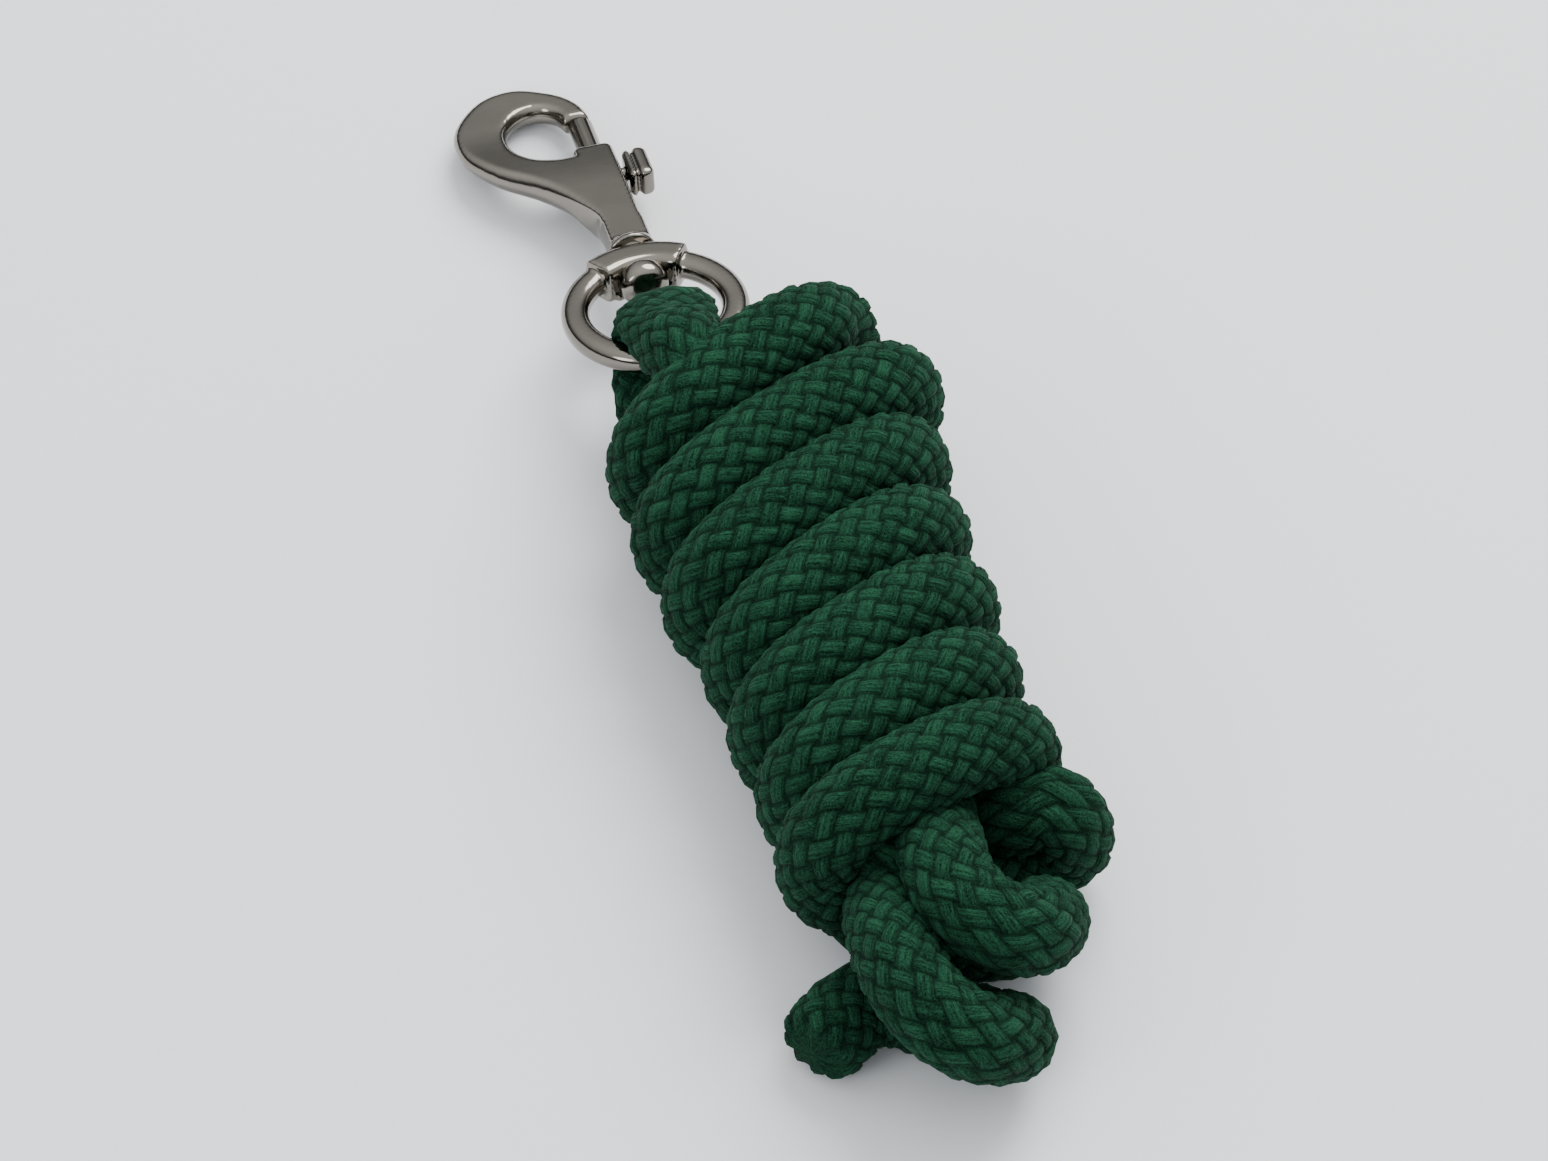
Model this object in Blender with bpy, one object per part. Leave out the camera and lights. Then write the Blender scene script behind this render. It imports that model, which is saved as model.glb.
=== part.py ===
"""Horse lead rope: a bolt snap on a swivel eye, and a braided rope wound into a hank.

Units are metres, +Z up, +Y along the hank towards the snap. The hank, the hook's head and the
rope's end lie on the floor, z = 0. The origin is at the middle of the object's footprint.
"""
from math import cos, pi, radians, sin

import bmesh
import bpy
from mathutils import Matrix, Vector

MM = 0.001

# Places below are measured from a point on the floor under the hank. LAYOUT_SHIFT brings them to the
# middle of the footprint.
LAYOUT_SHIFT = Vector((-3.68, -1.56, 0.0)) * MM

# Rope
ROPE_DIAMETER = 18.0 * MM
EYE_THICKNESS = 13.0 * MM       # the rope is pressed flat where it bends round the ring's bar
FACE_GAP = 0.3 * MM             # between faces that touch on the real object

# Hank: seven wraps round two inner strands
HANK_HEIGHT = 53.0 * MM
HANK_LENGTH = 132.0 * MM        # along its middle
HANK_WIDTH_SNAP_END = 70.0 * MM
HANK_WIDTH_TAIL_END = 66.0 * MM
HANK_SLANT = 0.28               # the wraps run askew: the ends' rise towards the right
HANK_MIDDLE_X = 6.0 * MM
HANK_FRONT_Y = 36.0 * MM        # the snap end's place on the middle line
HANK_ROUND = 17.0 * MM

# Closing turns and free end
TURNS_HEIGHT = 44.0 * MM
TURNS_LENGTH = 50.0 * MM
TURNS_ROUND = 7.0 * MM
TURNS_LEFT_X = -16.0 * MM
TURNS_RIGHT_X = 42.0 * MM
END_LENGTH = 13.5 * MM          # how far the rope's end stands out of the turns
END_DROP = 3.0 * MM             # and how far it turns back towards the tail end

# Swivel eye
RING_CENTRE = Vector((-7.05, 62.65, 19.8)) * MM
SNAP_TILT = radians(11.5)       # the snap slopes down to its head
SNAP_TURN = radians(2.5)
RING_INNER_DIAMETER = 28.0 * MM
RING_BAR_WIDTH = 6.1 * MM
RING_BAR_THICKNESS = 5.4 * MM
BOSS_WIDTH = 20.4 * MM
BOSS_DEPTH = 7.6 * MM
BOSS_THICKNESS = 8.6 * MM
SWIVEL_GAP = 0.3 * MM

# Snap body
SHANK_DIAMETER = 7.0 * MM
HEAD_DIAMETER = 10.8 * MM
HEAD_LENGTH = 5.2 * MM
NECK_DIAMETER = 10.2 * MM
NECK_LENGTH = 9.0 * MM
BARREL_DIAMETER = 9.6 * MM
BARREL_LENGTH = 39.2 * MM       # from the boss to the barrel's mouth
HOOK_THICKNESS = 5.6 * MM
HOOK_EDGE_ROUND = 1.3 * MM
HOOK_GATE = 11.8 * MM           # from the barrel's mouth to the hook's tip

# Bolt, thumb stud and spring
BOLT_DIAMETER = 5.4 * MM
BOLT_LENGTH = 24.4 * MM
BOLT_TRAVEL = 11.0 * MM
BOLT_GAP = 0.3 * MM
STEM_DIAMETER = 3.0 * MM
STEM_BACK = 20.4 * MM           # from the bolt's nose to the stem's axis
KNOB_LENGTH = 10.4 * MM
KNOB_HEIGHT = 9.0 * MM
KNOB_THICKNESS = 4.2 * MM
SPRING_WIRE = 0.6 * MM
SPRING_TURNS = 6
BORE_DEPTH_BEHIND_SPRING = 15.6 * MM

ROUND_STEPS = 32


def clear_scene():
    for obj in list(bpy.data.objects):
        bpy.data.objects.remove(obj, do_unlink=True)


def make_material(name, color, roughness, metallic):
    material = bpy.data.materials.new(name)
    material.use_nodes = True
    shader = material.node_tree.nodes["Principled BSDF"]
    shader.inputs["Base Color"].default_value = (*color, 1.0)
    shader.inputs["Roughness"].default_value = roughness
    shader.inputs["Metallic"].default_value = metallic
    return material


def make_collection(name):
    collection = bpy.data.collections.new(name)
    bpy.context.scene.collection.children.link(collection)
    return collection


def add_object(name, data, collection, parent=None, location=(0, 0, 0)):
    obj = bpy.data.objects.new(name, data)
    collection.objects.link(obj)
    obj.parent = parent
    obj.location = location
    return obj


def mesh_from_bmesh(name, bm):
    bmesh.ops.recalc_face_normals(bm, faces=bm.faces)
    mesh = bpy.data.meshes.new(name)
    bm.to_mesh(mesh)
    bm.free()
    return mesh


def shade(obj, material, angle=35.0):
    obj.data.materials.clear()
    obj.data.materials.append(material)
    if obj.type == "MESH":
        obj.data.shade_smooth()
        obj.data.set_sharp_from_angle(angle=radians(angle))


def box_mesh(name, low, high, round_edges=0.0, segments=3):
    bm = bmesh.new()
    bmesh.ops.create_cube(bm, size=1.0)
    size = Vector(high) - Vector(low)
    middle = (Vector(high) + Vector(low)) / 2
    bmesh.ops.scale(bm, vec=size, verts=bm.verts)
    bmesh.ops.translate(bm, vec=middle, verts=bm.verts)
    if round_edges > 0:
        bmesh.ops.bevel(bm, geom=bm.edges, offset=round_edges, segments=segments,
                        profile=0.5, affect="EDGES")
    return mesh_from_bmesh(name, bm)


def rod_mesh(name, radius, start, end, steps=ROUND_STEPS):
    """A plain cylinder between two points."""
    start, end = Vector(start), Vector(end)
    axis = end - start
    bm = bmesh.new()
    bmesh.ops.create_cone(bm, cap_ends=True, segments=steps, radius1=radius, radius2=radius,
                          depth=axis.length)
    turn = Vector((0, 0, 1)).rotation_difference(axis).to_matrix().to_4x4()
    bmesh.ops.transform(bm, matrix=Matrix.Translation((start + end) / 2) @ turn, verts=bm.verts)
    return mesh_from_bmesh(name, bm)


def turned_mesh(name, profile, steps=ROUND_STEPS):
    """Turns a profile of (radius, place along Y) pairs round the Y axis. It starts and ends on the axis."""
    bm = bmesh.new()
    points = [bm.verts.new((radius, along, 0.0)) for radius, along in profile]
    edges = [bm.edges.new(pair) for pair in zip(points, points[1:])]
    bmesh.ops.spin(bm, geom=points + edges, axis=(0, 1, 0), cent=(0, 0, 0), angle=2 * pi,
                   steps=steps, use_merge=True)
    bmesh.ops.remove_doubles(bm, verts=bm.verts, dist=0.00001)
    return mesh_from_bmesh(name, bm)


def slab_mesh(name, corners, height, round_edges, segments=4):
    """A flat-bottomed slab on the floor over the corners, with all its edges rounded."""
    bm = bmesh.new()
    base = bm.faces.new([bm.verts.new((x, y, 0.0)) for x, y in corners])
    top = bmesh.ops.extrude_face_region(bm, geom=[base])["geom"]
    bmesh.ops.translate(bm, vec=(0, 0, height), verts=[v for v in top if isinstance(v, bmesh.types.BMVert)])
    bmesh.ops.bevel(bm, geom=bm.edges, offset=round_edges, segments=segments, profile=0.5,
                    affect="EDGES", clamp_overlap=True)
    return mesh_from_bmesh(name, bm)


def outline_curve(name, points, thickness, edge_round, resolution=5, round_steps=2):
    """A flat closed outline with rounded edges. Each point is (x, y, is_corner), in millimetres."""
    curve = bpy.data.curves.new(name, "CURVE")
    curve.dimensions = "2D"
    curve.fill_mode = "BOTH"
    curve.extrude = thickness / 2 - edge_round
    curve.bevel_depth = edge_round
    curve.bevel_resolution = round_steps
    curve.offset = -edge_round
    curve.resolution_u = resolution
    spline = curve.splines.new("BEZIER")
    spline.bezier_points.add(len(points) - 1)
    for target, (x, y, is_corner) in zip(spline.bezier_points, points):
        target.co = (x * MM, y * MM, 0)
        kind = "VECTOR" if is_corner else "AUTO"
        target.handle_left_type = kind
        target.handle_right_type = kind
    spline.use_cyclic_u = True
    return curve


def curve_to_mesh_object(curve_object):
    """Replaces a curve object with a welded mesh object of the same name and place."""
    bpy.context.view_layer.update()
    evaluated = curve_object.evaluated_get(bpy.context.evaluated_depsgraph_get())
    mesh = bpy.data.meshes.new_from_object(evaluated)
    bm = bmesh.new()
    bm.from_mesh(mesh)
    bmesh.ops.remove_doubles(bm, verts=bm.verts, dist=0.00001)
    bmesh.ops.recalc_face_normals(bm, faces=bm.faces)
    bm.to_mesh(mesh)
    bm.free()
    name = curve_object.name
    collection = curve_object.users_collection[0]
    parent = curve_object.parent
    location = curve_object.location.copy()
    rotation = curve_object.rotation_euler.copy()
    bpy.data.objects.remove(curve_object, do_unlink=True)
    obj = add_object(name, mesh, collection, parent, location)
    obj.rotation_euler = rotation
    return obj


def boolean(obj, other, operation, cutters):
    """Joins to or cuts from obj the object other, which is kept as a guide."""
    if other.name not in cutters.objects:
        for collection in list(other.users_collection):
            collection.objects.unlink(other)
        cutters.objects.link(other)
    other.hide_render = True
    other.display_type = "WIRE"
    modifier = obj.modifiers.new(other.name, "BOOLEAN")
    modifier.operation = operation
    modifier.object = other
    modifier.solver = "EXACT"


def tube(name, points, radius, collection, material, resolution=3, steps_between=3):
    """A round tube through the given points, read from a smooth curve through them."""
    places = smooth_points([Vector(point) for point in points], steps_between)
    curve = bpy.data.curves.new(name, "CURVE")
    curve.dimensions = "3D"
    curve.bevel_depth = radius
    curve.bevel_resolution = resolution
    curve.use_fill_caps = True
    spline = curve.splines.new("POLY")
    spline.points.add(len(places) - 1)
    for target, place in zip(spline.points, places):
        target.co = (*place, 1.0)
    obj = add_object(name, curve, collection)
    curve.materials.append(material)
    return obj


def smooth_points(points, steps):
    """Points of a smooth curve through all the given points, steps for each stretch."""
    padded = [2 * points[0] - points[1]] + points + [2 * points[-1] - points[-2]]
    places = []
    for before, start, end, after in zip(padded, padded[1:], padded[2:], padded[3:]):
        for step in range(steps):
            t = step / steps
            places.append(0.5 * (2 * start + (end - before) * t
                                 + (2 * before - 5 * start + 4 * end - after) * t ** 2
                                 + (3 * start - before - 3 * end + after) * t ** 3))
    places.append(points[-1])
    return places


# Places along the snap, from the ring's centre towards the hook's head
BOSS_INNER = RING_INNER_DIAMETER / 2 - 1.6 * MM
BOSS_OUTER = BOSS_INNER + BOSS_DEPTH
NECK_START = BOSS_OUTER + SWIVEL_GAP
HEAD_START = BOSS_INNER - SWIVEL_GAP
MOUTH = BOSS_OUTER + BARREL_LENGTH
TIP = MOUTH + HOOK_GATE
NOSE = TIP - BOLT_GAP
BORE_RADIUS = BOLT_DIAMETER / 2 + BOLT_GAP
BORE_END = NOSE - BOLT_LENGTH - BORE_DEPTH_BEHIND_SPRING
STEM_PLACE = NOSE - STEM_BACK
SLOT_HALF = STEM_DIAMETER / 2 + BOLT_GAP


def hank_front(x):
    """Y of the hank's snap end at x."""
    return HANK_FRONT_Y + HANK_SLANT * (x - HANK_MIDDLE_X)


def hank_back(x):
    return hank_front(x) - HANK_LENGTH


def turns_end():
    """Y of the closing turns' far edge."""
    return hank_back(HANK_MIDDLE_X) - TURNS_LENGTH


def build_hank(parts, material):
    corners = []
    for side, edge in ((1, hank_back), (1, hank_front), (-1, hank_front), (-1, hank_back)):
        width = HANK_WIDTH_SNAP_END if edge is hank_front else HANK_WIDTH_TAIL_END
        x = HANK_MIDDLE_X + side * width / 2
        corners.append((x, edge(x)))
    hank = add_object("rope_hank", slab_mesh("rope_hank", corners, HANK_HEIGHT, HANK_ROUND), parts)
    shade(hank, material)


def build_turns(parts, material):
    """The three short turns that close the hank, as one solid of their outer shape."""
    near_right = TURNS_RIGHT_X - 4 * MM
    middle = (TURNS_LEFT_X + TURNS_RIGHT_X) / 2 - 8 * MM
    far = turns_end()
    corners = [(near_right, hank_back(near_right) - FACE_GAP),
               (TURNS_LEFT_X, hank_back(TURNS_LEFT_X) - FACE_GAP),
               (TURNS_LEFT_X, far + 14 * MM), (middle - 12 * MM, far + 3 * MM), (middle, far),
               (middle + 13 * MM, far + 7 * MM), (middle + 26 * MM, far + 28 * MM),
               (TURNS_RIGHT_X, far + 44 * MM)]
    turns = add_object("rope_closing_turns", slab_mesh("rope_closing_turns", corners, TURNS_HEIGHT,
                                                       TURNS_ROUND), parts)
    shade(turns, material)


def build_free_end(parts, material):
    radius = ROPE_DIAMETER / 2
    x, y = TURNS_LEFT_X - FACE_GAP, turns_end() + 26 * MM
    places = [(x, y, radius), (x - END_LENGTH / 4, y, radius), (x - END_LENGTH / 2, y, radius),
              (x - END_LENGTH, y - END_DROP, radius)]
    tube("rope_free_end", places, radius, parts, material)


def build_rope_eye(parts, material):
    """The loop through the ring, from the hank's low front to its high front."""
    radius = EYE_THICKNESS / 2
    route = [(-10.5, 49.0, 13.4), (-8.6, 55.2, 18.3), (-7.6, 57.4, 26.5), (-8.4, 54.8, 33.6),
             (-10.4, 48.0, 37.4), (-11.8, 41.0, 38.2)]
    places = [Vector(point) * MM for point in route]
    for index, x, z in ((0, -12.0 * MM, 13.2 * MM), (len(places) + 1, -12.5 * MM, 37.5 * MM)):
        y = hank_front(x) + FACE_GAP + 1.08 * HANK_SLANT * radius
        places.insert(index, Vector((x, y, z)))
    tube("rope_eye", places, radius, parts, material, resolution=4)


def build_swivel_eye(parts, guides, frame, material):
    bm = bmesh.new()
    radius = (RING_INNER_DIAMETER + RING_BAR_WIDTH) / 2
    steps = 12
    section = []
    for step in range(steps):
        angle = 2 * pi * step / steps
        section.append(bm.verts.new((radius + RING_BAR_WIDTH / 2 * cos(angle), 0.0,
                                     RING_BAR_THICKNESS / 2 * sin(angle))))
    edges = [bm.edges.new((a, b)) for a, b in zip(section, section[1:] + section[:1])]
    bmesh.ops.spin(bm, geom=section + edges, axis=(0, 0, 1), cent=(0, 0, 0), angle=2 * pi, steps=48,
                   use_merge=True)
    bmesh.ops.remove_doubles(bm, verts=bm.verts, dist=0.00001)
    ring = add_object("swivel_eye", mesh_from_bmesh("swivel_eye", bm), parts, frame)
    half = Vector((BOSS_WIDTH / 2, 0, BOSS_THICKNESS / 2))
    boss = add_object("boss_shape", box_mesh("boss_shape", (-half.x, BOSS_INNER, -half.z),
                                             (half.x, BOSS_OUTER, half.z), 1.4 * MM), guides, frame)
    bore = add_object("boss_bore", rod_mesh("boss_bore", SHANK_DIAMETER / 2 + SWIVEL_GAP,
                                            (0, BOSS_INNER - 5 * MM, 0), (0, BOSS_OUTER + 5 * MM, 0)),
                      guides, frame)
    boolean(ring, boss, "UNION", guides)
    boolean(ring, bore, "DIFFERENCE", guides)
    shade(ring, material)


def build_snap_body(parts, guides, frame, material):
    """The cast body: turned head, shank, neck and barrel, joined to the flat hook."""
    neck, barrel = NECK_DIAMETER / 2, BARREL_DIAMETER / 2
    head, shank = HEAD_DIAMETER / 2, SHANK_DIAMETER / 2
    head_end = HEAD_START - HEAD_LENGTH
    profile = [(0, head_end), (head * 0.55, head_end + 0.3 * MM), (head * 0.88, head_end + 1.2 * MM),
               (head, head_end + 2.6 * MM), (head, HEAD_START), (shank, HEAD_START),
               (shank, NECK_START), (neck + 0.6 * MM, NECK_START), (neck + 0.6 * MM, NECK_START + 1.0 * MM),
               (neck, NECK_START + 1.8 * MM), (neck, NECK_START + NECK_LENGTH),
               (barrel, NECK_START + NECK_LENGTH + 3 * MM), (barrel, MOUTH - 0.8 * MM),
               (barrel - 0.8 * MM, MOUTH), (0, MOUTH)]
    body = add_object("snap_body", turned_mesh("snap_body", profile), parts, frame)
    hook = [(-1.0, 30.0, False), (-5.0, 30.5, False), (-6.9, 36.0, False), (-13.4, 46.4, False),
            (-24.4, 57.8, False), (-28.4, 68.5, False), (-24.6, 79.6, False), (-14.4, 86.2, False),
            (-4.8, 83.2, False), (1.0, 77.2, False), (2.6, TIP / MM, True), (-3.6, TIP / MM, True),
            (-5.2, 75.0, False), (-9.6, 77.0, False), (-14.6, 74.2, False), (-16.8, 67.0, False),
            (-13.6, 59.6, False), (-8.0, 56.9, False), (-3.6, 56.4, False), (-1.0, 50.0, False)]
    plate = add_object("hook_shape", outline_curve("hook_shape", hook, HOOK_THICKNESS, HOOK_EDGE_ROUND),
                       guides, frame)
    plate = curve_to_mesh_object(plate)
    bore = add_object("bolt_bore", rod_mesh("bolt_bore", BORE_RADIUS, (0, BORE_END, 0),
                                            (0, MOUTH + 3 * MM, 0)), guides, frame)
    slot_end = STEM_PLACE + SLOT_HALF
    slot_start = STEM_PLACE - BOLT_TRAVEL - SLOT_HALF
    slot = add_object("stud_slot", box_mesh("stud_slot", (0.5 * MM, slot_start, -SLOT_HALF),
                                            (barrel + 3 * MM, slot_end, SLOT_HALF)), guides, frame)
    boolean(body, plate, "UNION", guides)
    boolean(body, bore, "DIFFERENCE", guides)
    boolean(body, slot, "DIFFERENCE", guides)
    shade(body, material)


def build_bolt(parts, guides, frame, material):
    """The sliding rod that closes the hook, its stud pressed into a cross hole, and the spring behind."""
    radius = BOLT_DIAMETER / 2
    slide = add_object("bolt_axis", None, parts, frame, (0, NOSE, 0))
    profile = [(0, -BOLT_LENGTH), (radius - 0.3 * MM, -BOLT_LENGTH), (radius, -BOLT_LENGTH + 0.3 * MM),
               (radius, -0.5 * MM), (radius - 0.5 * MM, 0), (0, 0)]
    bolt = add_object("snap_bolt", turned_mesh("snap_bolt", profile, 24), parts, slide)
    hole = add_object("stem_hole", rod_mesh("stem_hole", STEM_DIAMETER / 2 + 0.3 * MM,
                                            (-1.2 * MM, -STEM_BACK, 0), (6 * MM, -STEM_BACK, 0), 16),
                      guides, slide)
    boolean(bolt, hole, "DIFFERENCE", guides)
    shade(bolt, material)
    barrel = BARREL_DIAMETER / 2
    stem_end = -0.9 * MM
    knob_start = barrel + 0.7 * MM
    low = (knob_start, -STEM_BACK - KNOB_LENGTH / 2, -KNOB_HEIGHT / 2)
    high = (knob_start + KNOB_THICKNESS, -STEM_BACK + KNOB_LENGTH / 2, KNOB_HEIGHT / 2)
    stud = add_object("thumb_stud", box_mesh("thumb_stud", low, high, 1.5 * MM), parts, slide)
    stem = add_object("stem_shape", rod_mesh("stem_shape", STEM_DIAMETER / 2, (stem_end, -STEM_BACK, 0),
                                             (knob_start + 1 * MM, -STEM_BACK, 0), 16), guides, slide)
    boolean(stud, stem, "UNION", guides)
    shade(stud, material)


def build_spring(parts, frame, material):
    start = BORE_END + SPRING_WIRE / 2 + FACE_GAP
    end = NOSE - BOLT_LENGTH - SPRING_WIRE / 2 - FACE_GAP
    coil = BORE_RADIUS - SPRING_WIRE / 2 - FACE_GAP
    per_turn = 12
    total = SPRING_TURNS * per_turn
    curve = bpy.data.curves.new("bolt_spring", "CURVE")
    curve.dimensions = "3D"
    curve.bevel_depth = SPRING_WIRE / 2
    curve.bevel_resolution = 2
    curve.use_fill_caps = True
    spline = curve.splines.new("POLY")
    spline.points.add(total)
    for step, target in enumerate(spline.points):
        angle = 2 * pi * step / per_turn
        along = start + (end - start) * step / total
        target.co = (coil * cos(angle), along, coil * sin(angle), 1.0)
    curve.materials.append(material)
    add_object("bolt_spring", curve, parts, frame)


def main():
    clear_scene()
    parts = make_collection("lead_rope")
    guides = make_collection("guides")
    rope = make_material("rope_green", (0.012, 0.075, 0.04), 0.85, 0.0)
    metal = make_material("snap_metal", (0.22, 0.21, 0.19), 0.28, 1.0)
    steel = make_material("spring_steel", (0.45, 0.45, 0.46), 0.35, 1.0)
    layout = add_object("layout", None, parts, None, LAYOUT_SHIFT)
    frame = add_object("snap_frame", None, parts, layout, RING_CENTRE)
    frame.rotation_euler = (-SNAP_TILT, 0, -SNAP_TURN)
    build_hank(parts, rope)
    build_turns(parts, rope)
    build_free_end(parts, rope)
    build_rope_eye(parts, rope)
    for obj in parts.objects:
        if obj.name.startswith("rope_"):
            obj.parent = layout
    build_swivel_eye(parts, guides, frame, metal)
    build_snap_body(parts, guides, frame, metal)
    build_bolt(parts, guides, frame, metal)
    build_spring(parts, frame, steel)


main()
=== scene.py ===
"""Braided lead rope in a hank, with a bolt snap on a swivel eye, in metres, +Z up."""
from math import cos, exp, pi, radians, sin

import bpy
import numpy as np
from mathutils import Matrix, Vector
from mathutils.kdtree import KDTree


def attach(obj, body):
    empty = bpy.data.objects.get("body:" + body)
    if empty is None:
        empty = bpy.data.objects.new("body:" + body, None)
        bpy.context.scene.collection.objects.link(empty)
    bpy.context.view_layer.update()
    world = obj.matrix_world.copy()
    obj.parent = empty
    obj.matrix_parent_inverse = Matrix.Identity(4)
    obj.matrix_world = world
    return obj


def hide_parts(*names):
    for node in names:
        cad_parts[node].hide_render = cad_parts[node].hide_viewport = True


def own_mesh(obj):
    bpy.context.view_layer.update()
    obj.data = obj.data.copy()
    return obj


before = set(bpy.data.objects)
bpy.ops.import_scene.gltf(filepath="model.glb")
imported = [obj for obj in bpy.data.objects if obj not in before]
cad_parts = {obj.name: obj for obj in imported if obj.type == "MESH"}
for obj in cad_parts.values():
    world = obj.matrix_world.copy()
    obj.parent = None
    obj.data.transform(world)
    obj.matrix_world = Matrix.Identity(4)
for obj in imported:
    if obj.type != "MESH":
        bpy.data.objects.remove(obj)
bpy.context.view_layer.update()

MM = 0.001

# The places of the rope's route are measured from a point under the hank; this brings them to the frame.
LAYOUT = np.array([-3.68, -1.56, 0.0])


# ---------------------------------------------------------------------------------------------------
# Camera
# ---------------------------------------------------------------------------------------------------

def add_camera(height_angle=50.0, turn_angle=17.0, distance=1.5, lens=167.44):
    """A long lens looking down on the hank from beyond its closing turns."""
    high, turn = radians(height_angle), radians(turn_angle)
    sight = Vector((sin(turn) * cos(high), cos(turn) * cos(high), -sin(high)))
    target = Vector(LAYOUT) * MM
    data = bpy.data.cameras.new("camera")
    data.lens = lens
    data.sensor_width = 36.0
    data.sensor_fit = "HORIZONTAL"
    camera = bpy.data.objects.new("camera", data)
    bpy.context.scene.collection.objects.link(camera)
    camera.location = target - sight * distance
    camera.rotation_euler = sight.to_track_quat("-Z", "Y").to_euler()
    bpy.context.scene.camera = camera


add_camera()


# ---------------------------------------------------------------------------------------------------
# Shader helpers
# ---------------------------------------------------------------------------------------------------

class Value:
    """A node's socket that can be used in sums."""

    def __init__(self, nodes, socket):
        self.nodes = nodes
        self.socket = socket

    def math(self, operation, *others, clamp=False):
        return self.nodes.add("ShaderNodeMath", {"operation": operation, "use_clamp": clamp},
                              [self, *others])

    def __add__(self, other):
        return self.math("ADD", other)

    __radd__ = __add__

    def __sub__(self, other):
        return self.math("SUBTRACT", other)

    def __rsub__(self, other):
        return self.nodes.add("ShaderNodeMath", {"operation": "SUBTRACT"}, [other, self])

    def __mul__(self, other):
        return self.math("MULTIPLY", other)

    __rmul__ = __mul__

    def held(self):
        """The value, kept between 0 and 1."""
        return self.math("ADD", 0.0, clamp=True)


def set_stops(ramp, stops):
    """Gives a colour ramp its stops, each a place and a colour."""
    while len(ramp.elements) < len(stops):
        ramp.elements.new(0.5)
    for element, (place, colour) in zip(ramp.elements, stops):
        element.position = place
        element.color = colour


class Nodes:
    """The nodes of a finish or of the studio, and the one way they are added."""

    def __init__(self, tree):
        self.tree = tree

    def add(self, kind, settings=None, values=(), output=0):
        """Adds a node: its settings first, then the values or links of its sockets."""
        node = self.tree.nodes.new(kind)
        for key, value in (settings or {}).items():
            if key == "stops":
                set_stops(node.color_ramp, value)
            else:
                setattr(node, key, value)
        pairs = values.items() if isinstance(values, dict) else enumerate(values)
        for key, value in pairs:
            self.put(node.inputs[key], value)
        return Value(self, node.outputs[output])

    def put(self, socket, value):
        if isinstance(value, Value):
            self.tree.links.new(value.socket, socket)
        else:
            socket.default_value = value


class Finish(Nodes):
    """A material."""

    def __init__(self, name, **constants):
        self.material = bpy.data.materials.new(name)
        self.material.use_nodes = True
        super().__init__(self.material.node_tree)
        self.shader = self.tree.nodes["Principled BSDF"]
        self.feed(**constants)

    def feed(self, **values):
        """Sets or links the shader's sockets, and returns the material."""
        for socket, value in values.items():
            self.put(self.shader.inputs[socket.replace("_", " ")], value)
        return self.material

    def mix(self, amount, first, second):
        """A colour between two others."""
        return self.add("ShaderNodeMix", {"data_type": "RGBA"}, {0: amount, 6: first, 7: second},
                        output=2)

    def noise(self, where, scale, detail, roughness):
        return self.add("ShaderNodeTexNoise", {}, {"Vector": where, "Scale": scale, "Detail": detail,
                                                   "Roughness": roughness})

    def stretched(self, where, scale):
        return self.add("ShaderNodeMapping", {}, {"Vector": where, "Scale": scale})

    def bump(self, height, distance, strength):
        return self.add("ShaderNodeBump", {}, {"Height": height, "Distance": distance,
                                               "Strength": strength})


# ---------------------------------------------------------------------------------------------------
# Rope: its route
# ---------------------------------------------------------------------------------------------------

ROPE_RADIUS = 9.0
WRAP_PITCH = 19.6
FIRST_WRAP_Y = 37.0
WRAP_RIGHT = [23.5, 33.0, 28.3, 26.3, 26.0, 24.5, 26.0]
WRAP_LEFT = [-22.5, -22.7, -21.7, -18.7, -18.6, -18.0, -19.0]
WRAP_LEFT_Y = [15.0, -4.0, -22.5, -41.0, -58.5, -76.0, -92.5]
WRAP_MIDDLE_Z = 26.5
WRAP_HALF_HEIGHT = 17.5
WRAP_LEAN = 3.0
WRAP_FULLNESS = 2.3
POINTS_PER_WRAP = 14
LAST_WRAP_TURN = 215.0

# The bight round the ring's bar, from the hank's inside low down and back to it high up
BIGHT = [(-4, 18, 12), (-7, 27, 12), (-10, 36, 12), (-10.5, 43.5, 12.6), (-9.4, 49.5, 15.0),
         (-8.4, 53.7, 19.2), (-7.8, 55.0, 24.4), (-7.8, 52.7, 29.6), (-8.6, 47.7, 33.4),
         (-9.6, 41, 36.6), (-9.8, 33.5, 40.2), (-8.4, 25.5, 42.4), (-5.0, 17.5, 38.5), (1, 9.5, 30.5)]
INNER_STRANDS = [(8, 0, 26.5), (9.5, -25, 26.5), (9, -55, 26.5), (8, -78, 26), (4, -93, 26),
                 (-5, -95, 26.5), (-9, -85, 26.5), (-9.5, -60, 26.5), (-9.5, -30, 26.5),
                 (-9, -5, 26.5), (-5, 10, 22), (3.5, 18, 14.5), (12.5, 25.5, 10.4),
                 (20.3, 32, 12.8), (24.2, 36.2, 19.2)]
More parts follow.
